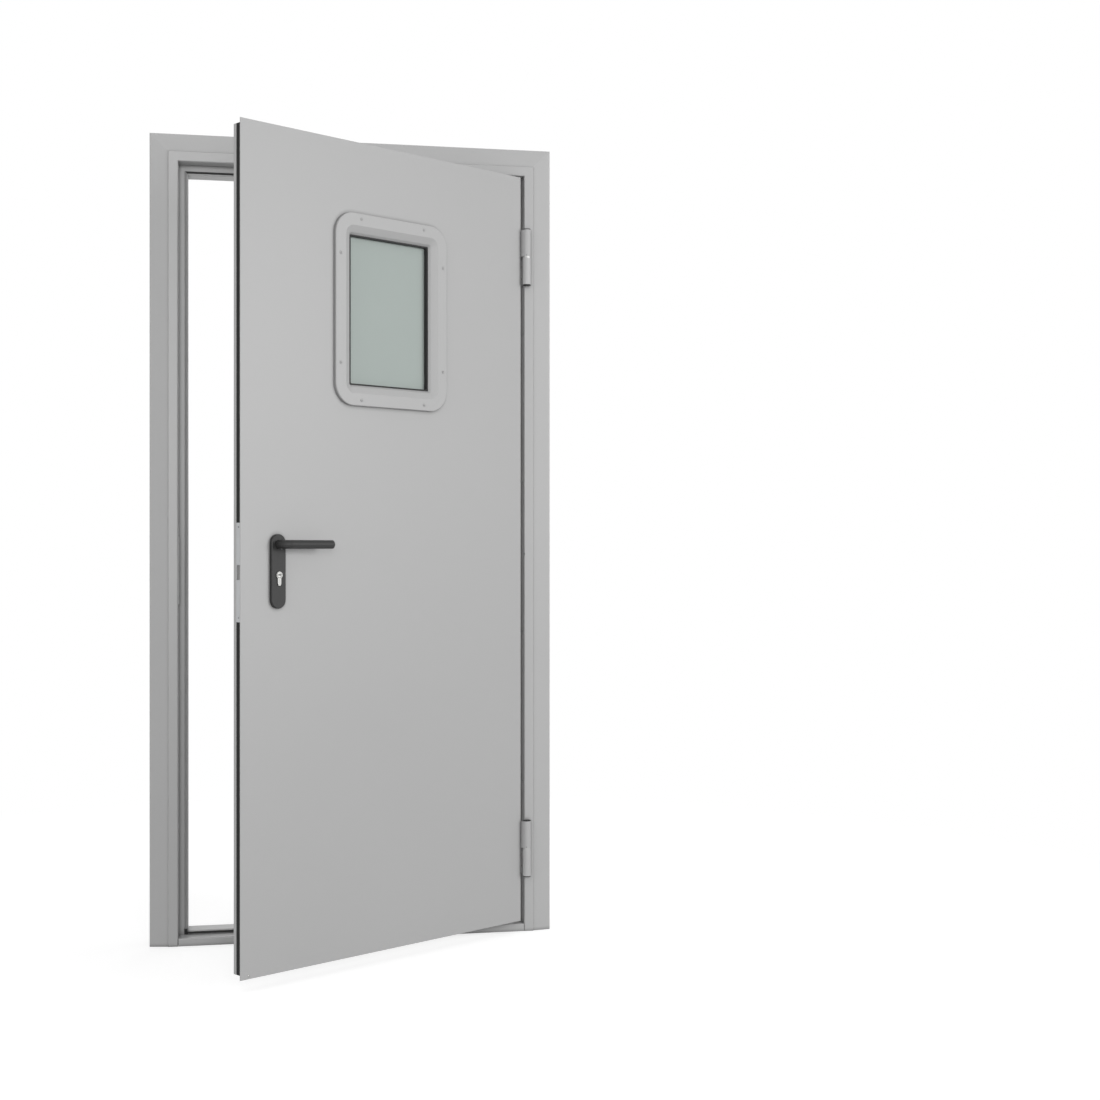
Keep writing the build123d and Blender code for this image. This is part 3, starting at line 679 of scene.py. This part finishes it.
def seen_directly(n):
    """1 for what the camera sees, also in gloss and through glass."""
    path = n.add("ShaderNodeLightPath")
    mirrored = n.combine(path.outputs["Is Glossy Ray"], path.outputs["Is Transmission Ray"], "MAXIMUM")
    return n.combine(path.outputs["Is Camera Ray"], mirrored, "MAXIMUM")


def studio():
    """A white surround that lights the door softly from all round."""
    world = bpy.data.worlds.new("surround")
    bpy.context.scene.world = world
    n = Nodes(world)
    plain = n.add("ShaderNodeBackground", {"Color": WHITE, "Strength": SURROUND_LEVEL})
    white = n.add("ShaderNodeBackground", {"Color": WHITE, "Strength": 1.0})
    n.finish(n.pick(seen_directly(n), plain, white), "ShaderNodeOutputWorld")


def floor():
    """A wide pale floor that reads white, fades into the surround and keeps the door's soft shadow."""
    n = Nodes(bpy.data.materials.new("floor"))
    place = n.place()
    cloud = n.noise(place, 0.6, 3.0)
    tone = n.mix_colour(cloud, *(grey_colour(grey) for grey in FLOOR_GREYS))
    diffuse = n.add("ShaderNodeBsdfDiffuse", {"Color": tone})
    lift = n.add("ShaderNodeEmission", {"Color": WHITE, "Strength": FLOOR_LIFT})
    near = n.add("ShaderNodeAddShader", {0: diffuse.outputs[0], 1: lift.outputs[0]})
    white = n.add("ShaderNodeEmission", {"Color": WHITE, "Strength": 1.0})
    distance = n.add("ShaderNodeVectorMath", {0: place}, operation="LENGTH").outputs["Value"]
    shown = n.pick(n.spread(distance, 0.0, 1.0, *FLOOR_FADE), near, white)
    bounce = n.add("ShaderNodeBsdfDiffuse", {"Color": grey_colour(FLOOR_BOUNCE)})
    material = n.finish(n.pick(seen_directly(n), bounce, shown))
    mesh = bpy.data.meshes.new("floor")
    low = cad_low[2] - FLOOR_DROP
    corners = [(x * FLOOR_HALF, y * FLOOR_HALF, low) for x, y in ((-1, -1), (1, -1), (1, 1), (-1, 1))]
    mesh.from_pydata(corners, [], [(0, 1, 2, 3)])
    mesh.materials.append(material)
    plane = bpy.data.objects.new("floor", mesh)
    bpy.context.scene.collection.objects.link(plane)


def lamp(name, place, target, size, power):
    """A soft square lamp that looks at a point."""
    data = bpy.data.lights.new(name, "AREA")
    data.size = size
    data.energy = power
    obj = bpy.data.objects.new(name, data)
    bpy.context.scene.collection.objects.link(obj)
    aim = Vector(target) - Vector(place)
    obj.rotation_euler = aim.to_track_quat("-Z", "Y").to_euler()
    obj.location = place


def camera():
    data = bpy.data.cameras.new("camera")
    data.sensor_fit = "HORIZONTAL"
    data.sensor_width = SENSOR_WIDTH
    data.lens = CAMERA_LENS
    data.clip_end = CAMERA_REACH
    obj = bpy.data.objects.new("camera", data)
    bpy.context.scene.collection.objects.link(obj)
    obj.location = CAMERA_PLACE
    obj.rotation_euler = (math.radians(90.0), 0.0, math.radians(-CAMERA_TURN))
    bpy.context.scene.camera = obj


studio()
floor()
camera()
lamp("key", place=(5.4, -3.7, 2.1), target=(0.2, 0.0, 1.0), size=2.2, power=125.0)
lamp("front", place=(-0.45, -5.6, 1.8), target=(-0.2, 0.0, 1.0), size=2.0, power=80.0)
lamp("side", place=(-3.6, -4.0, 1.8), target=(-0.2, 0.0, 1.0), size=1.4, power=22.0)
lamp("rear", place=(0.9, 3.9, 2.6), target=(0.0, 0.0, 1.0), size=2.6, power=20.0)

scene = bpy.context.scene
scene.view_settings.view_transform = "Standard"
